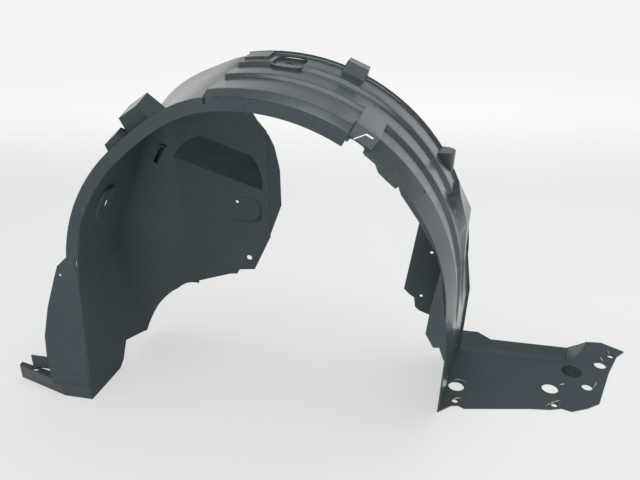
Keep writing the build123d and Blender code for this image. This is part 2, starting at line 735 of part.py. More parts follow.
# The part's own frame: centred over its footprint, standing on the floor
box = liner.part.bounding_box()
home = Location((-box.center().X, -box.center().Y, -box.min.Z))
with BuildPart() as wheel_arch_liner:
    add(liner.part.moved(home))

wheel_arch_liner.part.label = "wheel_arch_liner"
os.makedirs("parts", exist_ok=True)
export_step(wheel_arch_liner.part, "parts/wheel_arch_liner.step")
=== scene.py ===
"""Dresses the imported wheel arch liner: its moulded shell, its floor plate's small shapes, a pale stage."""

import math

import bpy
import numpy as np
from bpy.props import FloatProperty, FloatVectorProperty, PointerProperty
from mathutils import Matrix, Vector


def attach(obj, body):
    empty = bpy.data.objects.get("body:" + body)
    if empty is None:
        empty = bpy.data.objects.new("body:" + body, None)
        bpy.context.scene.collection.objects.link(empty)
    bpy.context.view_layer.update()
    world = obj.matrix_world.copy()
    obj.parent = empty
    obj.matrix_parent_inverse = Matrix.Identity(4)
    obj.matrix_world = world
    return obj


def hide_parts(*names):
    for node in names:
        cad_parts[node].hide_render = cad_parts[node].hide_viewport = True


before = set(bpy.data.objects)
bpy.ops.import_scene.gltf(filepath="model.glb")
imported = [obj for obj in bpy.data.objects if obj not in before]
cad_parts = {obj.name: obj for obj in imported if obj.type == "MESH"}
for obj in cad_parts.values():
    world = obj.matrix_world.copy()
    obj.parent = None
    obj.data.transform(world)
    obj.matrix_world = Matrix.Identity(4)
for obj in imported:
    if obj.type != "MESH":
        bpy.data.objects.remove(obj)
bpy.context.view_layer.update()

bl_info = {
    "name": "Wheel arch liner",
    "version": (1, 0, 0),
    "blender": (4, 5, 0),
    "location": "3D View > Sidebar > Liner",
    "description": "Builds a moulded wheel arch liner's visible shell, its plate's details and its stage",
    "category": "Object",
}

NODE = "wheel_arch_liner"
BODY = "root"

# Points nearer than this, in metres, are one point; depths nearer than the second are level.
SAME_POINT = 2e-6
SAME_DEPTH = 2e-5


class LinerFinish(bpy.types.PropertyGroup):
    """Sizes and colours of the moulded plastic."""

    outer_colour: FloatVectorProperty(
        name="Outer plastic", description="Colour of the smooth face that looks away from the wheel",
        subtype="COLOR", size=3, min=0.0, max=1.0, default=(0.0300, 0.0420, 0.0475))
    # The inner colour is paler and bluer than the outer one: painted light that lifts the shade on the faces
    # towards the wheel.
    inner_colour_painted_light: FloatVectorProperty(
        name="Inner plastic", description="Colour of the grained face that looks at the wheel",
        subtype="COLOR", size=3, min=0.0, max=1.0, default=(0.0430, 0.0585, 0.0650))
    dust_colour: FloatVectorProperty(
        name="Dust", description="Colour of handling marks and fine dust", subtype="COLOR",
        size=3, min=0.0, max=1.0, default=(0.085, 0.100, 0.106))
    worn_colour: FloatVectorProperty(
        name="Worn edge", description="Colour of plastic rubbed pale along its edges", subtype="COLOR",
        size=3, min=0.0, max=1.0, default=(0.115, 0.122, 0.124))
    outer_roughness: FloatProperty(
        name="Outer roughness", description="Roughness of the smooth face that looks away from the wheel",
        subtype="FACTOR", min=0.0, max=1.0, default=0.20)
    inner_roughness: FloatProperty(
        name="Inner roughness", description="Roughness of the grained face that looks at the wheel",
        subtype="FACTOR", min=0.0, max=1.0, default=0.58)
    inner_shine: FloatProperty(
        name="Inner shine", description="Strength of the mirror light on the grained face", subtype="FACTOR",
        min=0.0, max=1.0, default=0.14)
    outer_gloss: FloatProperty(
        name="Outer gloss", description="Weight of the thin glossy skin on the smooth face", subtype="FACTOR",
        min=0.0, max=1.0, default=0.25)
    patch_place: FloatVectorProperty(
        name="Patch", description="Middle of the coarse dark patch on the floor plate", subtype="TRANSLATION",
        unit="LENGTH", size=3, default=(0.4445, 0.0700, 0.0025))
    patch_radius: FloatProperty(
        name="Patch radius", description="Radius of the coarse dark patch", subtype="DISTANCE",
        unit="LENGTH", min=0.001, default=0.0205)
    # The patch's dark colour is painted shade of a shallow dimple; its coarse grain is a real bump.
    patch_painted_shade: FloatVectorProperty(
        name="Patch colour", description="Colour of the coarse dark patch", subtype="COLOR",
        size=3, min=0.0, max=1.0, default=(0.010, 0.0135, 0.0145))
    # Pale colour of the thin strands laid beside the plate's holes.
    strand_colour: FloatVectorProperty(
        name="Flash", description="Colour of thin plastic stretched pale", subtype="COLOR",
        size=3, min=0.0, max=1.0, default=(0.50, 0.52, 0.53))
    axle_place: FloatVectorProperty(
        name="Axle", description="A point on the wheel's axis", subtype="TRANSLATION",
        unit="LENGTH", size=3, default=(-0.111, 0.0, 0.219))
    grain_size: FloatProperty(
        name="Grain", description="Size of one cell of the moulded grain", subtype="DISTANCE",
        unit="LENGTH", min=0.0001, default=0.0014)
    grain_depth: FloatProperty(
        name="Grain depth", description="Height of the moulded grain", subtype="DISTANCE",
        unit="LENGTH", min=0.0, default=0.00012)
    blotch_size: FloatProperty(
        name="Blotch", description="Size of the patches in which dust and wear lie", subtype="DISTANCE",
        unit="LENGTH", min=0.001, default=0.09)
    speck_size: FloatProperty(
        name="Speck", description="Size of one speck of dust", subtype="DISTANCE",
        unit="LENGTH", min=0.0001, default=0.004)
    sag_size: FloatProperty(
        name="Sag", description="Length of the slow waves of a thin moulding", subtype="DISTANCE",
        unit="LENGTH", min=0.001, default=0.075)
    sag_depth: FloatProperty(
        name="Sag depth", description="Height of the slow waves of a thin moulding", subtype="DISTANCE",
        unit="LENGTH", min=0.0, default=0.0012)
    edge_round: FloatProperty(
        name="Edge rounding", description="Radius that softens the edges in the light", subtype="DISTANCE",
        unit="LENGTH", min=0.0, default=0.0014)
    smooth_angle: FloatProperty(
        name="Smooth angle", description="Folds sharper than this stay crisp", subtype="ANGLE",
        unit="ROTATION", min=0.0, max=math.pi, default=math.radians(32))
    lap_face: FloatProperty(
        name="Lap face", description="Depth of the bowl's lap, where the inner wall's face is drawn",
        subtype="DISTANCE", unit="LENGTH", default=0.08435)
    wall_face: FloatProperty(
        name="Wall face", description="Depth of the inner wall's face on the wheel's side",
        subtype="DISTANCE", unit="LENGTH", default=0.08495)


class LinerLips(bpy.types.PropertyGroup):
    """Sizes of the rolled lips round the floor plate's holes."""

    plate_top: FloatProperty(
        name="Plate top", description="Height of the floor plate's upper face", subtype="DISTANCE",
        unit="LENGTH", default=0.0025)
    tube: FloatProperty(
        name="Lip", description="Radius of the lip's round section", subtype="DISTANCE",
        unit="LENGTH", min=0.0002, default=0.0013)
    sink: FloatProperty(
        name="Sink", description="Depth of the lip's middle below the plate's upper face", subtype="DISTANCE",
        unit="LENGTH", min=0.0, default=0.0003)
    clip_radius: FloatProperty(
        name="Clip hole", description="Radius of a clip hole", subtype="DISTANCE",
        unit="LENGTH", min=0.001, default=0.0055)


class LinerFold(bpy.types.PropertyGroup):
    """Sizes of the rounded fold between the floor plate and its flange."""

    start: FloatProperty(
        name="Start", description="Where the fold starts along X", subtype="DISTANCE",
        unit="LENGTH", default=0.2360)
    end: FloatProperty(
        name="End", description="Where the fold ends along X", subtype="DISTANCE",
        unit="LENGTH", default=0.4392)
    root: FloatProperty(
        name="Root", description="Depth at which the flange's near face meets the plate's upper face",
        subtype="DISTANCE", unit="LENGTH", default=0.1061)
    lean: FloatProperty(
        name="Lean", description="Angle of the flange from upright", subtype="ANGLE",
        unit="ROTATION", default=math.radians(20))
    radius: FloatProperty(
        name="Radius", description="Radius of the fold", subtype="DISTANCE",
        unit="LENGTH", min=0.0005, default=0.0095)
    sink: FloatProperty(
        name="Sink", description="Depth of the fold's hidden side in the flange", subtype="DISTANCE",
        unit="LENGTH", min=0.0, default=0.0012)
    base: FloatProperty(
        name="Base", description="Height of the fold's hidden side in the plate", subtype="DISTANCE",
        unit="LENGTH", min=0.0, default=0.0006)


class LinerCorner(bpy.types.PropertyGroup):
    """Sizes of the sheet that turns the plate's flange into its ear."""

    foot_height: FloatProperty(
        name="Foot", description="Height of the sheet's foot, sunk in the plate", subtype="DISTANCE",
        unit="LENGTH", default=0.0021)
    tip_height: FloatProperty(
        name="Tip", description="Height of the sheet's top at the flange", subtype="DISTANCE",
        unit="LENGTH", default=0.0242)
    wall: FloatProperty(
        name="Wall", description="Thickness of the sheet", subtype="DISTANCE",
        unit="LENGTH", min=0.0001, default=0.0012)


class LinerStrands(bpy.types.PropertyGroup):
    """Sizes of the thin pale strands."""

    radius: FloatProperty(
        name="Strand", description="Radius of a strand at its middle", subtype="DISTANCE",
        unit="LENGTH", min=0.0001, default=0.0008)
    lift: FloatProperty(
        name="Lift", description="Height of a strand's middle above the plate", subtype="DISTANCE",
        unit="LENGTH", min=0.0, default=0.0012)


class LinerStage(bpy.types.PropertyGroup):
    """Sizes, colours and strengths of the stage."""

    floor_colour: FloatVectorProperty(
        name="Floor", description="Colour of the floor", subtype="COLOR",
        size=3, min=0.0, max=1.0, default=(0.265, 0.265, 0.262))
    bounce_colour: FloatVectorProperty(
        name="Bounce", description="Plain colour of the floor, which throws light back on the part",
        subtype="COLOR", size=3, min=0.0, max=1.0, default=(0.74, 0.74, 0.74))
    floor_glow: FloatVectorProperty(
        name="Floor glow", description="Paleness of the floor that a shadow doesn't take away",
        subtype="COLOR", size=3, min=0.0, max=1.0, default=(0.540, 0.540, 0.540))
    back_colour: FloatVectorProperty(
        name="Back", description="Colour of the floor behind the part", subtype="COLOR",
        size=3, min=0.0, max=1.0, default=(0.32, 0.32, 0.318))
    # The paleness just behind the fold is kept lower than far behind: painted shade of the corner at the
    # floor's fold.
    back_shaded_glow: FloatVectorProperty(
        name="Back glow", description="Paleness behind the part that a shadow leaves", subtype="COLOR",
        size=3, min=0.0, max=1.0, default=(0.480, 0.482, 0.484))
    far_glow: FloatVectorProperty(
        name="Far glow", description="Paleness of the floor far behind the part", subtype="COLOR",
        size=3, min=0.0, max=1.0, default=(0.675, 0.675, 0.67))
    floor_size: FloatProperty(
        name="Floor size", description="Half the width of the floor", subtype="DISTANCE",
        unit="LENGTH", min=1.0, default=14.0)
    fold_distance: FloatProperty(
        name="Fold", description="Distance from the camera to the faint fold in the floor",
        subtype="DISTANCE", unit="LENGTH", min=0.0, default=1.165)
    fold_width: FloatProperty(
        name="Fold width", description="Half the width over which the floor's tone changes",
        subtype="DISTANCE", unit="LENGTH", min=0.0001, default=0.004)
    far_start: FloatProperty(
        name="Far start", description="Distance behind the fold at which the floor starts to pale",
        subtype="DISTANCE", unit="LENGTH", min=0.0, default=0.7)
    far_end: FloatProperty(
        name="Far end", description="Distance behind the fold from which the floor is at its palest",
        subtype="DISTANCE", unit="LENGTH", min=0.0, default=1.9)
    world_strength: FloatProperty(
        name="Sky", description="Strength of the even light all round", min=0.0, default=0.66)
    horizon_strength: FloatProperty(
        name="Horizon", description="Paleness of the sky where it is seen or mirrored low down", min=0.0,
        default=0.92)
    zenith_strength: FloatProperty(
        name="Zenith", description="Paleness of the sky where it is seen or mirrored high up", min=0.0,
        default=0.28)
    horizon_edge: FloatProperty(
        name="Horizon edge", description="Sine of the height up to which the sky is at its palest",
        min=0.0, max=1.0, default=0.10)
    zenith_edge: FloatProperty(
        name="Zenith edge", description="Sine of the height from which the sky is at its greyest",
        min=0.0, max=1.0, default=0.42)
    key_power: FloatProperty(
        name="Key", description="Power of the soft lamp overhead", unit="POWER", min=0.0, default=36.0)
    key_colour: FloatVectorProperty(
        name="Key colour", description="Colour of the soft lamp overhead", subtype="COLOR",
        size=3, min=0.0, max=1.0, default=(0.90, 0.98, 1.0))
    key_size: FloatProperty(
        name="Key size", description="Width of the soft lamp overhead", subtype="DISTANCE",
        unit="LENGTH", min=0.1, default=2.4)
    key_place: FloatVectorProperty(
        name="Key place", description="Place of the soft lamp overhead", subtype="TRANSLATION",
        unit="LENGTH", size=3, default=(0.50, 0.25, 2.45))
    fill_power: FloatProperty(
        name="Fill", description="Power of the soft lamp in front", unit="POWER", min=0.0, default=40.0)
    fill_size: FloatProperty(
        name="Fill size", description="Width of the soft lamp in front", subtype="DISTANCE",
        unit="LENGTH", min=0.1, default=1.2)
    fill_place: FloatVectorProperty(
        name="Fill place", description="Place of the soft lamp in front", subtype="TRANSLATION",
        unit="LENGTH", size=3, default=(0.30, -3.0, 0.60))
    aim: FloatVectorProperty(
        name="Aim", description="Point that the lamps look at", subtype="TRANSLATION",
        unit="LENGTH", size=3, default=(0.05, 0.05, 0.25))
    camera_place: FloatVectorProperty(
        name="Camera", description="Place of the camera", subtype="TRANSLATION",
        unit="LENGTH", size=3, default=(0.1808, -0.98215, 0.7327))
    camera_pitch: FloatProperty(
        name="Pitch", description="Angle of the camera below the horizon", subtype="ANGLE",
        unit="ROTATION", default=math.radians(25.15))
    camera_yaw: FloatProperty(
        name="Yaw", description="Turn of the camera about the upright", subtype="ANGLE",
        unit="ROTATION", default=math.radians(11.6))
    lens: FloatProperty(
        name="Lens", description="Focal length of the camera, with a sensor 36 mm wide", unit="CAMERA",
        min=1.0, default=36.0)


class Value:
    """One socket of a node tree; its operators add the Math node that works them out."""

    def __init__(self, nodes, socket):
        self.nodes = nodes
        self.socket = socket

    def maths(self, operation, *terms):
        settings = {"operation": operation}
        return self.nodes.add("ShaderNodeMath", settings, dict(enumerate(terms)))

    def __add__(self, other):
        return self.maths("ADD", self, other)

    def __radd__(self, other):
        return self.maths("ADD", other, self)

    def __sub__(self, other):
        return self.maths("SUBTRACT", self, other)

    def __rsub__(self, other):
        return self.maths("SUBTRACT", other, self)

    def __mul__(self, other):
        return self.maths("MULTIPLY", self, other)

    def __rmul__(self, other):
        return self.maths("MULTIPLY", other, self)

    def __truediv__(self, other):
        return self.maths("DIVIDE", self, other)

    def between(self, low, high):
        """Nought below low, one above high, and an eased climb from one to the other."""
        settings = {"interpolation_type": "SMOOTHSTEP"}
        sockets = {"Value": self, "From Min": low, "From Max": high}
        return self.nodes.add("ShaderNodeMapRange", settings, sockets)


class Nodes:
    """The node tree of a material or the world, filled one node at a time."""

    def __init__(self, owner):
        self.owner = owner
        self.owner.use_nodes = True
        self.tree = self.owner.node_tree
        self.tree.nodes.clear()

    def add(self, kind, settings=None, sockets=None, output=0):
        """Adds a node of that kind, makes its settings, fills or links its sockets, gives one output."""
        node = self.tree.nodes.new(kind)
        for name, setting in (settings or {}).items():
            setattr(node, name, setting)
        for name, value in (sockets or {}).items():
            if isinstance(value, Value):
                self.tree.links.new(value.socket, node.inputs[name])
            else:
                node.inputs[name].default_value = value
        return Value(self, node.outputs[output]) if node.outputs else node

    def noise(self, place, size, detail=2.0, rough=0.5):
        """Soft noise from nought to one, with cells of that size in metres."""
        sockets = {"Vector": place, "Scale": 1.0 / size, "Detail": detail, "Roughness": rough}
        return self.add("ShaderNodeTexNoise", {}, sockets)

    def seen(self):
        """One for a ray from the camera or from a reflection, and nought for any other."""
        camera = self.add("ShaderNodeLightPath", {}, {}, "Is Camera Ray")
        return camera.maths("MAXIMUM", camera, self.add("ShaderNodeLightPath", {}, {}, "Is Glossy Ray"))

    def mix(self, factor, first, second):
        """The first colour where the factor is nought, and the second where it is one."""
        settings = {"data_type": "RGBA"}
        return self.add("ShaderNodeMix", settings, {0: factor, 6: first, 7: second}, 2)


def plastic_material(finish):
    """Satin black plastic, made once: moulded grain, slow waves, faint dust, and edges rubbed pale.

    Faces that look away from the axle are smoother and glossier than the rest. The rest are painted paler and
    bluer, as painted light that lifts their shade. One coarse dark patch lies on the floor plate; its dark
    colour is painted shade of a shallow dimple, and its coarse grain is a real bump.
    """
    made = bpy.data.materials.get("satin_black_plastic")
    if made:
        return made
    nodes = Nodes(bpy.data.materials.new("satin_black_plastic"))
    place = nodes.add("ShaderNodeTexCoord", {}, {}, "Object")
    flat = nodes.add("ShaderNodeNewGeometry", {}, {}, "Normal")
    soft = nodes.add("ShaderNodeBevel", {"samples": 6}, {"Radius": finish.edge_round})
    turn = nodes.add("ShaderNodeVectorMath", {"operation": "DOT_PRODUCT"}, {0: flat, 1: soft}, "Value")
    patches = nodes.noise(place, finish.blotch_size, 4.0, 0.6)
    specks = nodes.noise(place, finish.speck_size, 3.0, 0.6)
    edge = (1.0 - turn).between(0.004, 0.16) * patches.between(0.34, 0.62)
    dust = patches.between(0.46, 0.80) * (0.35 + 0.65 * specks.between(0.35, 0.75))
    grain = nodes.noise(place, finish.grain_size, 2.0, 0.55)
    mottle = nodes.noise(place, 2.2 * finish.grain_size, 2.0, 0.7).between(0.46, 0.66)
    sag = nodes.noise(place, finish.sag_size, 1.0, 0.4)
    from_axle = nodes.add("ShaderNodeVectorMath", {"operation": "SUBTRACT"}, {0: place, 1: finish.axle_place})
    spoke = nodes.add("ShaderNodeVectorMath", {"operation": "MULTIPLY"}, {0: from_axle, 1: (1.0, 0.0, 1.0)})
    ray = nodes.add("ShaderNodeVectorMath", {"operation": "NORMALIZE"}, {0: spoke})
    facing = nodes.add("ShaderNodeVectorMath", {"operation": "DOT_PRODUCT"}, {0: flat, 1: ray}, "Value")
    outer = facing.between(0.05, 0.45)
    spread = 0.08 * patches + 0.05 * specks - 0.04 * edge
    coarse = nodes.noise(place, finish.patch_radius / 6, 2.0, 0.6).between(0.40, 0.62)
    from_patch = nodes.add("ShaderNodeVectorMath", {"operation": "DISTANCE"}, {
        0: place, 1: finish.patch_place}, "Value")
    patch = 1.0 - (from_patch / finish.patch_radius + 0.25 * specks).between(0.90, 1.15)
    height = grain * (1.0 - 0.75 * outer) + 4.0 * patch * coarse
    waves = nodes.add("ShaderNodeBump", {}, {
        "Strength": 1.0, "Distance": finish.sag_depth, "Height": sag, "Normal": soft})
    relief = nodes.add("ShaderNodeBump", {}, {
        "Strength": 0.55, "Distance": finish.grain_depth, "Height": height, "Normal": waves})
    faces = []
    # The inner face's colour carries painted light, paler and bluer to lift its shade; the outer face's
    # colour is the plastic's own.
    for clean, rough, shine, gloss in (
        (finish.inner_colour_painted_light, finish.inner_roughness, finish.inner_shine, 0.0),
        (finish.outer_colour, finish.outer_roughness, 0.5, finish.outer_gloss),
    ):
        bare = nodes.mix(0.30 * dust + 0.22 * mottle, (*clean, 1.0), (*finish.dust_colour, 1.0))
        worn = nodes.mix(edge * 0.55, bare, (*finish.worn_colour, 1.0))
        # Painted shade: the coarse patch is darkened as if a shallow dimple lay in shade; its bump above is
        # real relief.
        colour = nodes.mix(patch * (0.55 + 0.45 * coarse), worn, (*finish.patch_painted_shade, 1.0))
        faces.append(nodes.add("ShaderNodeBsdfPrincipled", {}, {
            "Base Color": colour, "Roughness": rough + spread, "Normal": relief,
            "IOR": 1.49, "Specular IOR Level": shine, "Coat Weight": gloss, "Coat Roughness": 0.14}))
    shader = nodes.add("ShaderNodeMixShader", {}, {0: outer, 1: faces[0], 2: faces[1]})
    nodes.add("ShaderNodeOutputMaterial", {}, {"Surface": shader})
    return nodes.owner


def strand_material(finish):
    """Thin pale strands, with darker spots."""
    nodes = Nodes(bpy.data.materials.new("pale_strand_finish"))
    place = nodes.add("ShaderNodeTexCoord", {}, {}, "Object")
    spots = nodes.noise(place, 1.5 * finish.speck_size, 2.0, 0.5).between(0.30, 0.62)
    colour = nodes.mix(spots, (*finish.worn_colour, 1.0), (*finish.strand_colour, 1.0))
    shader = nodes.add("ShaderNodeBsdfPrincipled", {}, {
        "Base Color": colour, "Roughness": 0.55 - 0.15 * spots})
    nodes.add("ShaderNodeOutputMaterial", {}, {"Surface": shader})
    return nodes.owner


def floor_material(stage):
    """Pale floor: one tone in front of a faint fold, another behind it, and a paler one far behind. The tone
    just behind the fold is kept lower than far behind, as painted shade of a corner that fades with distance.

    Seen by the camera or in a reflection, part of its paleness is its own, so that the part's shadow on it
    stays light. What it throws back on the part comes from its plain colour alone.
    """
    nodes = Nodes(bpy.data.materials.new("pale_floor"))
    place = nodes.add("ShaderNodeTexCoord", {}, {}, "Object")
    ahead = (-math.sin(stage.camera_yaw), math.cos(stage.camera_yaw), 0.0)
    along = nodes.add("ShaderNodeVectorMath", {"operation": "DOT_PRODUCT"}, {0: place, 1: ahead}, "Value")
    start = ahead[0] * stage.camera_place[0] + ahead[1] * stage.camera_place[1]
    fold = start + stage.fold_distance
    behind = along.between(fold - stage.fold_width, fold + stage.fold_width)
    far = along.between(fold + stage.far_start, fold + stage.far_end)
    colour = nodes.mix(behind, (*stage.floor_colour, 1.0), (*stage.back_colour, 1.0))
    # Painted shade: the glow behind the fold is lower near it and climbs to the far glow with distance.
    near_glow = nodes.mix(behind, (*stage.floor_glow, 1.0), (*stage.back_shaded_glow, 1.0))
    glow = nodes.mix(far, near_glow, (*stage.far_glow, 1.0))
    lit = nodes.add("ShaderNodeBsdfPrincipled", {}, {
        "Base Color": (*stage.bounce_colour, 1.0), "Roughness": 0.8, "Specular IOR Level": 0.0})
    seen = nodes.add("ShaderNodeBsdfPrincipled", {}, {
        "Base Color": colour, "Roughness": 0.8, "Specular IOR Level": 0.0,
        "Emission Color": glow, "Emission Strength": 1.0})
    shader = nodes.add("ShaderNodeMixShader", {}, {0: nodes.seen(), 1: lit, 2: seen})
    nodes.add("ShaderNodeOutputMaterial", {}, {"Surface": shader})
    return nodes.owner


def mesh_from(name, points, *faces):
    """A mesh with these points and faces: each array of faces has one row for a face."""
    corners = np.concatenate([rows.ravel() for rows in faces])
    counts = np.concatenate([np.full(len(rows), rows.shape[1]) for rows in faces])
    mesh = bpy.data.meshes.new(name)
    mesh.vertices.add(len(points))
    mesh.vertices.foreach_set("co", points.astype(np.float32).ravel())
    mesh.loops.add(corners.size)
    mesh.loops.foreach_set("vertex_index", corners.astype(np.int32))
    mesh.polygons.add(counts.size)
    mesh.polygons.foreach_set("loop_start", (np.cumsum(counts) - counts).astype(np.int32))
    mesh.update(calc_edges=True)
    if mesh.validate():
        raise RuntimeError(f"{name} has faces that are not sound")
    return mesh


def grid_faces(rows, columns, closed_rows=False, closed_columns=False):
    """The four-sided faces between the points of a grid, which may close on itself either way."""
    row = np.arange(rows if closed_rows else rows - 1)[:, None]
    column = np.arange(columns if closed_columns else columns - 1)[None, :]
    next_row = (row + 1) % rows
    next_column = (column + 1) % columns
    corners = (row * columns + column, next_row * columns + column,
               next_row * columns + next_column, row * columns + next_column)
    return np.stack([np.broadcast_to(c, (row.size, column.size)) for c in corners], -1).reshape(-1, 4)


def place_piece(name, mesh, material):
    """Puts a finished mesh on the part's body, in the part's own finish."""
    piece = bpy.data.objects.new(name, mesh)
    bpy.context.scene.collection.objects.link(piece)
    mesh.materials.append(material)
    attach(piece, BODY)
    return piece


def merged_triangles(node):
    """The node's points and triangles, with equal points made one and vanished triangles left out."""
    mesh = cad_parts[node].data
    mesh.calc_loop_triangles()
    points = np.empty(len(mesh.vertices) * 3, np.float32)
    mesh.vertices.foreach_get("co", points)
    corners = np.empty(len(mesh.loop_triangles) * 3, np.int32)
    mesh.loop_triangles.foreach_get("vertices", corners)
    grid = np.round(points.reshape(-1, 3) / SAME_POINT).astype(np.int64)
    _, first, same = np.unique(grid, axis=0, return_index=True, return_inverse=True)
    faces = same.reshape(-1)[corners].reshape(-1, 3)
    whole = (faces[:, 0] != faces[:, 1]) & (faces[:, 1] != faces[:, 2]) & (faces[:, 2] != faces[:, 0])
    return points.reshape(-1, 3)[first], faces[whole]


class LINER_OT_shell(bpy.types.Operator):
    """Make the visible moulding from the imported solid, with its folds shaded smooth"""

    bl_idname = "liner.shell"
    bl_label = "Moulded shell"

    def execute(self, context):
        finish = context.scene.liner_finish
        points, faces = merged_triangles(NODE)
        # The inner wall's face is drawn level with the bowl's lap, so that no thin step shows between them.
        on_wall = np.abs(points[:, 1] - finish.wall_face) < SAME_DEPTH
        points[:, 1] = np.where(on_wall, finish.lap_face, points[:, 1])
        mesh = mesh_from("moulded_shell", points, faces)
        mesh.shade_smooth()
        mesh.set_sharp_from_angle(angle=finish.smooth_angle)
        piece = place_piece("moulded_shell", mesh, plastic_material(finish))
        fair = piece.modifiers.new("even_shading", "WEIGHTED_NORMAL")
        fair.mode = "FACE_AREA"
        fair.keep_sharp = True
        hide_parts(NODE)
        return {"FINISHED"}


class LINER_OT_lips(bpy.types.Operator):
    """Roll a small lip round each hole in the floor plate"""

    bl_idname = "liner.lips"
    bl_label = "Hole lips"

    around = 64
    across = 16

    def execute(self, context):
        lips = context.scene.liner_lips
        holes = np.array([
            (0.234, -0.01715, 0.0140), (0.399, 0.00985, 0.0145), (0.465, 0.02685, 0.0095),
            (0.500, 0.10085, 0.0110), (0.232, -0.05915, lips.clip_radius),
            (0.401, -0.03615, lips.clip_radius), (0.525, 0.13485, lips.clip_radius)])
        points = self.rings(holes, lips).reshape(-1, 3)
        ring = grid_faces(self.around, self.across, True, True)[:, ::-1]
        first = np.arange(len(holes)) * self.around * self.across
        faces = (ring[None] + first[:, None, None]).reshape(-1, 4)
        mesh = mesh_from("hole_lips", points, faces)
        mesh.shade_smooth()
        place_piece("hole_lips", mesh, plastic_material(context.scene.liner_finish))
        return {"FINISHED"}

    def rings(self, holes, lips):
        """Points of every ring, by hole, turn and roll.

        A ring's points lie at its hole's radius plus the lip's radius, less the lip's radius times the
        cosine of the roll, in the direction of the turn, and at a height of the lip's radius times the
        sine of the roll above its middle.
        """
        turn = np.linspace(0.0, 2 * np.pi, self.around, endpoint=False)[None, :, None]
        roll = np.linspace(0.0, 2 * np.pi, self.across, endpoint=False)[None, None, :]
        x, y, radius = (holes[:, k, None, None] for k in range(3))
        reach = radius + lips.tube - lips.tube * np.cos(roll)
        height = lips.plate_top - lips.sink + lips.tube * np.sin(roll)
        flat = np.zeros((len(holes), self.around, self.across))
        return np.stack([x + reach * np.cos(turn), y + reach * np.sin(turn), flat + height], -1)


class LINER_OT_fold(bpy.types.Operator):
    """Run a rounded fold along the foot of the floor plate's flange"""

    bl_idname = "liner.fold"
    bl_label = "Plate fold"

    steps = 15

    def execute(self, context):
        fold = context.scene.liner_fold
        section = self.section(fold, context.scene.liner_lips.plate_top)
        count = len(section)
        x = np.repeat([fold.start, fold.end], count)
        points = np.column_stack([x, np.tile(section, (2, 1))])
        sides = grid_faces(2, count, False, True)[:, ::-1]
        cap = np.arange(count)[None]
        mesh = mesh_from("plate_fold", points, sides, cap[:, ::-1], cap + count)
        mesh.shade_smooth()
        mesh.set_sharp_from_angle(angle=context.scene.liner_finish.smooth_angle)
        place_piece("plate_fold", mesh, plastic_material(context.scene.liner_finish))
        return {"FINISHED"}

    def section(self, fold, plate_top):
        """Closed section as (Y, Z), in the order that turns from +Y to +Z.

        Its hollow face is an arc about a point one radius above the plate. The arc runs from where it touches
        the leaning flange to where it touches the plate, straight below that point. The rest of the section
        is sunk in the plate and the flange, and fills the narrow gap between them.
        """
        touch = fold.radius * math.tan((math.pi / 2 - fold.lean) / 2)
        turn = np.linspace(-fold.lean, -np.pi / 2, self.steps)
        y = fold.root - touch + fold.radius * np.cos(turn)
        z = plate_top + fold.radius + fold.radius * np.sin(turn)
        sunk = np.array([(y[-1], fold.base), (fold.root + fold.sink, fold.base), (y[0] + fold.sink, z[0])])
        return np.concatenate([np.column_stack([y, z]), sunk])


class LINER_OT_corner(bpy.types.Operator):
    """Turn the plate's flange round into the plate's ear with one curved sheet"""

    bl_idname = "liner.corner"
    bl_label = "Plate corner"

    along = 36
    up = 14
    tip_share = 0.25
    cove_power = 1.9
    straight_power = 1.15
    straight_share = 0.35

    def execute(self, context):
        points = self.sheet(context.scene.liner_corner).reshape(-1, 3)
        mesh = mesh_from("plate_corner", points, grid_faces(self.along, self.up))
        mesh.shade_smooth()
        piece = place_piece("plate_corner", mesh, plastic_material(context.scene.liner_finish))
        wall = piece.modifiers.new("wall", "SOLIDIFY")
        wall.thickness = context.scene.liner_corner.wall
        wall.offset = -1.0
        return {"FINISHED"}

    def sheet(self, corner):
        """Points of the sheet, by place along its foot and by climb.

        The foot is a cubic Bezier curve on the plate. The top runs level to the flange's tip, over the first
        quarter, and then straight down to the ear. Between them a point moves evenly from foot to top, and
        climbs as a power of the share moved, which falls from a hollow cove at the flange to nearly straight.
        """
        u = np.linspace(0.0, 1.0, self.along)[:, None]
        v = np.linspace(0.0, 1.0, self.up)[None, :, None]
        foot = np.array([(0.4330, 0.0990), (0.4560, 0.1010), (0.4670, 0.1300), (0.4890, 0.1768)])
        weights = np.hstack([(1 - u) ** 3, 3 * u * (1 - u) ** 2, 3 * u ** 2 * (1 - u), u ** 3])
        low = np.hstack([weights @ foot, np.full_like(u, corner.foot_height)])
        tip = np.array([0.4400, 0.1146, corner.tip_height])
        start = tip - (0.0070, 0.0, 0.0)
        ear = np.array([0.4885, 0.1778, corner.foot_height])
        level = np.clip(u / self.tip_share, 0.0, 1.0)
        fall = np.clip((u - self.tip_share) / (1 - self.tip_share), 0.0, 1.0)
        high = start + (tip - start) * level + (ear - tip) * fall
        eased = np.clip(u / self.straight_share, 0.0, 1.0)
        power = self.cove_power + (self.straight_power - self.cove_power) * eased
        climb = v ** power[:, :, None]
        even = np.broadcast_to(v, climb.shape)
        return low[:, None] + (high - low)[:, None] * np.concatenate([even, even, climb], -1)


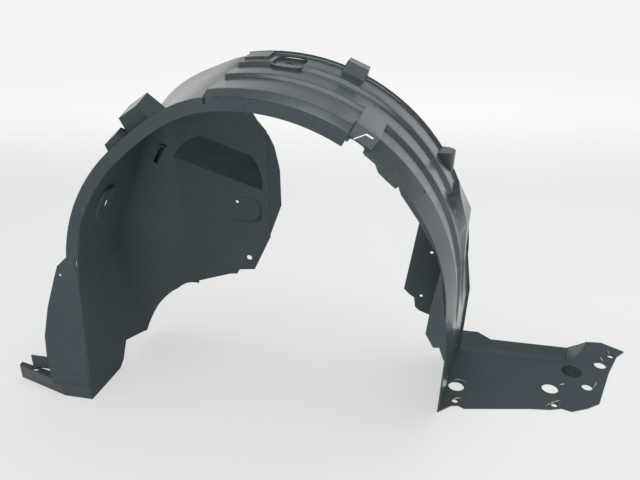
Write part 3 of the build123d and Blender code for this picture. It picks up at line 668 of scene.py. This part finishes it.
class LINER_OT_strands(bpy.types.Operator):
    """Lay the thin pale strands beside the plate's holes"""

    bl_idname = "liner.strands"
    bl_label = "Flash strands"

    along = 16
    around = 8

    def execute(self, context):
        strands = context.scene.liner_strands
        bends = np.array([
            [(0.2294, 0.0012), (0.2423, 0.0030), (0.2518, -0.0032)],
            [(0.2272, -0.0596), (0.2340, -0.0525), (0.2426, -0.0495)],
            [(0.4156, 0.0207), (0.4217, 0.0260), (0.4272, 0.0275)],
            [(0.3867, -0.0417), (0.3980, -0.0300), (0.4132, -0.0214)],
            [(0.4729, 0.0238), (0.4830, 0.0365), (0.4846, 0.0497)],
            [(0.5051, 0.1298), (0.5050, 0.1199), (0.5077, 0.1138)],
            [(0.5238, 0.1567), (0.5218, 0.1435), (0.5265, 0.1419)]])
        points = self.tubes(bends, strands, context.scene.liner_lips.plate_top).reshape(-1, 3)
        first = (np.arange(len(bends)) * self.along * self.around)[:, None, None]
        sides = (grid_faces(self.along, self.around, False, True)[None] + first).reshape(-1, 4)
        cap = np.arange(self.around)[None] + first[:, 0]
        last = cap + (self.along - 1) * self.around
        mesh = mesh_from("pale_strands", points, sides, cap, last[:, ::-1])
        mesh.shade_smooth()
        place_piece("pale_strands", mesh, strand_material(context.scene.liner_finish))
        return {"FINISHED"}

    def tubes(self, bends, strands, plate_top):
        """Points of every strand, by strand, place along it and roll.

        A strand's middle is a quadratic Bezier curve in plan. It lies on the plate at its ends and stands off
        it between them, by the lift times four times the share along it and the share left. Its radius is
        the full one at the middle and a fifth of it at the ends.
        """
        t = np.linspace(0.0, 1.0, self.along)[:, None]
        plan = np.hstack([(1 - t) ** 2, 2 * t * (1 - t), t ** 2]) @ bends
        slope = np.hstack([-2 * (1 - t), 2 - 4 * t, 2 * t]) @ bends
        slope /= np.linalg.norm(slope, axis=-1, keepdims=True)
        rise = 4 * t * (1 - t)
        radius = strands.radius * (0.2 + 0.8 * rise)
        roll = np.linspace(0.0, 2 * np.pi, self.around, endpoint=False)[None, :]
        aside, above = radius * np.cos(roll), radius * np.sin(roll)
        x = plan[..., 0, None] + slope[..., 1, None] * aside
        y = plan[..., 1, None] - slope[..., 0, None] * aside
        z = np.broadcast_to(plate_top + strands.lift * rise + above, x.shape)
        return np.stack([x, y, z], -1)


class LINER_OT_stage(bpy.types.Operator):
    """Set the pale floor, the soft light and the camera"""

    bl_idname = "liner.stage"
    bl_label = "Stage"

    def execute(self, context):
        stage = context.scene.liner_stage
        self.lay_floor(context, stage)
        self.light(context, stage)
        self.aim_camera(context, stage)
        return {"FINISHED"}

    def lay_floor(self, context, stage):
        points = np.array([(-1, -1, 0), (1, -1, 0), (1, 1, 0), (-1, 1, 0)]) * stage.floor_size
        mesh = mesh_from("floor", points, np.array([(0, 1, 2, 3)]))
        mesh.materials.append(floor_material(stage))
        floor = bpy.data.objects.new("floor", mesh)
        context.scene.collection.objects.link(floor)

    def light(self, context, stage):
        nodes = Nodes(bpy.data.worlds.new("studio"))
        lit, low, high = (
            nodes.add("ShaderNodeBackground", {}, {"Color": (1.0, 1.0, 1.0, 1.0), "Strength": strength})
            for strength in (stage.world_strength, stage.horizon_strength, stage.zenith_strength))
        way = nodes.add("ShaderNodeTexCoord", {}, {}, "Generated")
        up = nodes.add("ShaderNodeSeparateXYZ", {}, {"Vector": way}, "Z")
        climb = up.between(stage.horizon_edge, stage.zenith_edge)
        seen = nodes.add("ShaderNodeMixShader", {}, {0: climb, 1: low, 2: high})
        sky = nodes.add("ShaderNodeMixShader", {}, {0: nodes.seen(), 1: lit, 2: seen})
        nodes.add("ShaderNodeOutputWorld", {}, {"Surface": sky})
        context.scene.world = nodes.owner
        key = self.hang_lamp(context, "key", stage.key_place, stage.aim, stage.key_size, stage.key_power)
        key.color = stage.key_colour
        self.hang_lamp(context, "fill", stage.fill_place, stage.aim, stage.fill_size, stage.fill_power)

    def hang_lamp(self, context, name, place, aim, size, power):
        """Hangs a soft round lamp that looks at a point, and gives its light."""
        light = bpy.data.lights.new(name, "AREA")
        light.shape = "DISK"
        light.size = size
        light.energy = power
        lamp = bpy.data.objects.new(name, light)
        lamp.location = place
        lamp.visible_camera = False
        way = Vector(aim) - Vector(place)
        lamp.rotation_euler = way.to_track_quat("-Z", "Y").to_euler()
        context.scene.collection.objects.link(lamp)
        return light

    def aim_camera(self, context, stage):
        lens = bpy.data.cameras.new("camera")
        lens.sensor_width = 36.0
        lens.lens = stage.lens
        camera = bpy.data.objects.new("camera", lens)
        camera.location = stage.camera_place
        camera.rotation_euler = (math.pi / 2 - stage.camera_pitch, 0.0, stage.camera_yaw)
        context.scene.collection.objects.link(camera)
        context.scene.camera = camera
        context.scene.view_settings.view_transform = "Standard"


class LINER_PT_panel(bpy.types.Panel):
    """Lists the liner's operators and settings"""

    bl_idname = "LINER_PT_panel"
    bl_label = "Wheel arch liner"
    bl_space_type = "VIEW_3D"
    bl_region_type = "UI"
    bl_category = "Liner"

    def draw(self, context):
        scene = context.scene
        for field, _ in GROUPS:
            group = getattr(scene, field)
            column = self.layout.column()
            for name in group.__annotations__:
                column.prop(group, name)
        for operator in OPERATORS:
            self.layout.operator(operator.bl_idname)


GROUPS = (
    ("liner_finish", LinerFinish), ("liner_lips", LinerLips), ("liner_fold", LinerFold),
    ("liner_corner", LinerCorner), ("liner_strands", LinerStrands), ("liner_stage", LinerStage),
)
OPERATORS = (
    LINER_OT_shell, LINER_OT_lips, LINER_OT_fold, LINER_OT_corner, LINER_OT_strands, LINER_OT_stage,
)
CLASSES = (*(group for _, group in GROUPS), *OPERATORS, LINER_PT_panel)


def register():
    for cls in CLASSES:
        bpy.utils.register_class(cls)
    for field, group in GROUPS:
        setattr(bpy.types.Scene, field, PointerProperty(type=group))


def unregister():
    for field, _ in reversed(GROUPS):
        delattr(bpy.types.Scene, field)
    for cls in reversed(CLASSES):
        bpy.utils.unregister_class(cls)


def main():
    register()
    bpy.ops.liner.shell()
    bpy.ops.liner.lips()
    bpy.ops.liner.fold()
    bpy.ops.liner.corner()
    bpy.ops.liner.strands()
    bpy.ops.liner.stage()


if __name__ == "__main__":
    main()
